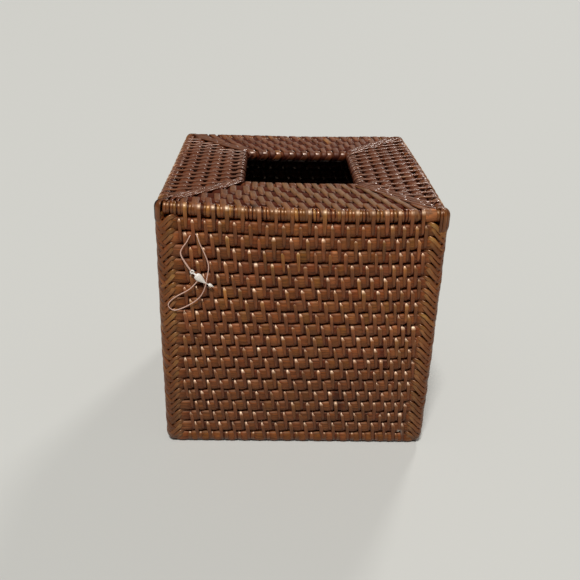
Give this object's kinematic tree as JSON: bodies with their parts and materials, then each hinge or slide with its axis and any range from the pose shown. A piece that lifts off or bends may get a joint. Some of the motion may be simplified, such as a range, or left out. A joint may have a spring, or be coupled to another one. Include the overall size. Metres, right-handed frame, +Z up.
{
  "type": "tissue box cover",
  "caption": "Square woven rattan cover that drops over a cube tissue box, with a rectangular slot in its top and an open bottom.",
  "frame": {"origin": "on the floor under the middle of the cover", "axes": "+Z up, the front wall faces -Y, +X to the right seen from the front"},
  "size_m": [0.145, 0.1479, 0.1425],
  "materials": {
    "rattan_rod": "varnished dark brown rattan core",
    "rattan_peel": "glossy varnished rattan peel",
    "nylon": "milky clear nylon"
  },
  "bodies": {
    "root": {"corner_post_front_right": "rattan_rod", "corner_post_back_right": "rattan_rod", "corner_post_back_left": "rattan_rod", "corner_post_front_left": "rattan_rod", "edge_rod_front": "rattan_rod", "edge_rod_right": "rattan_rod", "edge_rod_back": "rattan_rod", "edge_rod_left": "rattan_rod", "top_rods_front": "rattan_rod", "top_rods_right": "rattan_rod", "top_rods_back": "rattan_rod", "top_rods_left": "rattan_rod", "rim_rod_front": "rattan_rod", "rim_rod_right": "rattan_rod", "rim_rod_back": "rattan_rod", "rim_rod_left": "rattan_rod", "wall_rods_front": "rattan_rod", "wall_rods_right": "rattan_rod", "wall_rods_back": "rattan_rod", "wall_rods_left": "rattan_rod", "base_rod_front": "rattan_rod", "base_rod_right": "rattan_rod", "base_rod_back": "rattan_rod", "base_rod_left": "rattan_rod", "wall_lashing_front": "rattan_peel", "wall_lashing_right": "rattan_peel", "wall_lashing_back": "rattan_peel", "wall_lashing_left": "rattan_peel", "base_binding_front": "rattan_peel", "base_binding_right": "rattan_peel", "base_binding_back": "rattan_peel", "base_binding_left": "rattan_peel", "top_lashing_front": "rattan_peel", "top_lashing_right": "rattan_peel", "top_lashing_back": "rattan_peel", "top_lashing_left": "rattan_peel", "rim_binding_front": "rattan_peel", "rim_binding_right": "rattan_peel", "rim_binding_back": "rattan_peel", "rim_binding_left": "rattan_peel", "corner_plait_front_right": "rattan_peel", "corner_plait_back_right": "rattan_peel", "corner_plait_back_left": "rattan_peel", "corner_plait_front_left": "rattan_peel", "mitre_stitches_front_right": "rattan_peel", "mitre_stitches_back_right": "rattan_peel", "mitre_stitches_back_left": "rattan_peel", "mitre_stitches_front_left": "rattan_peel", "tag_strand": "nylon", "tag_lock": "nylon"}
  },
  "joints": []
}
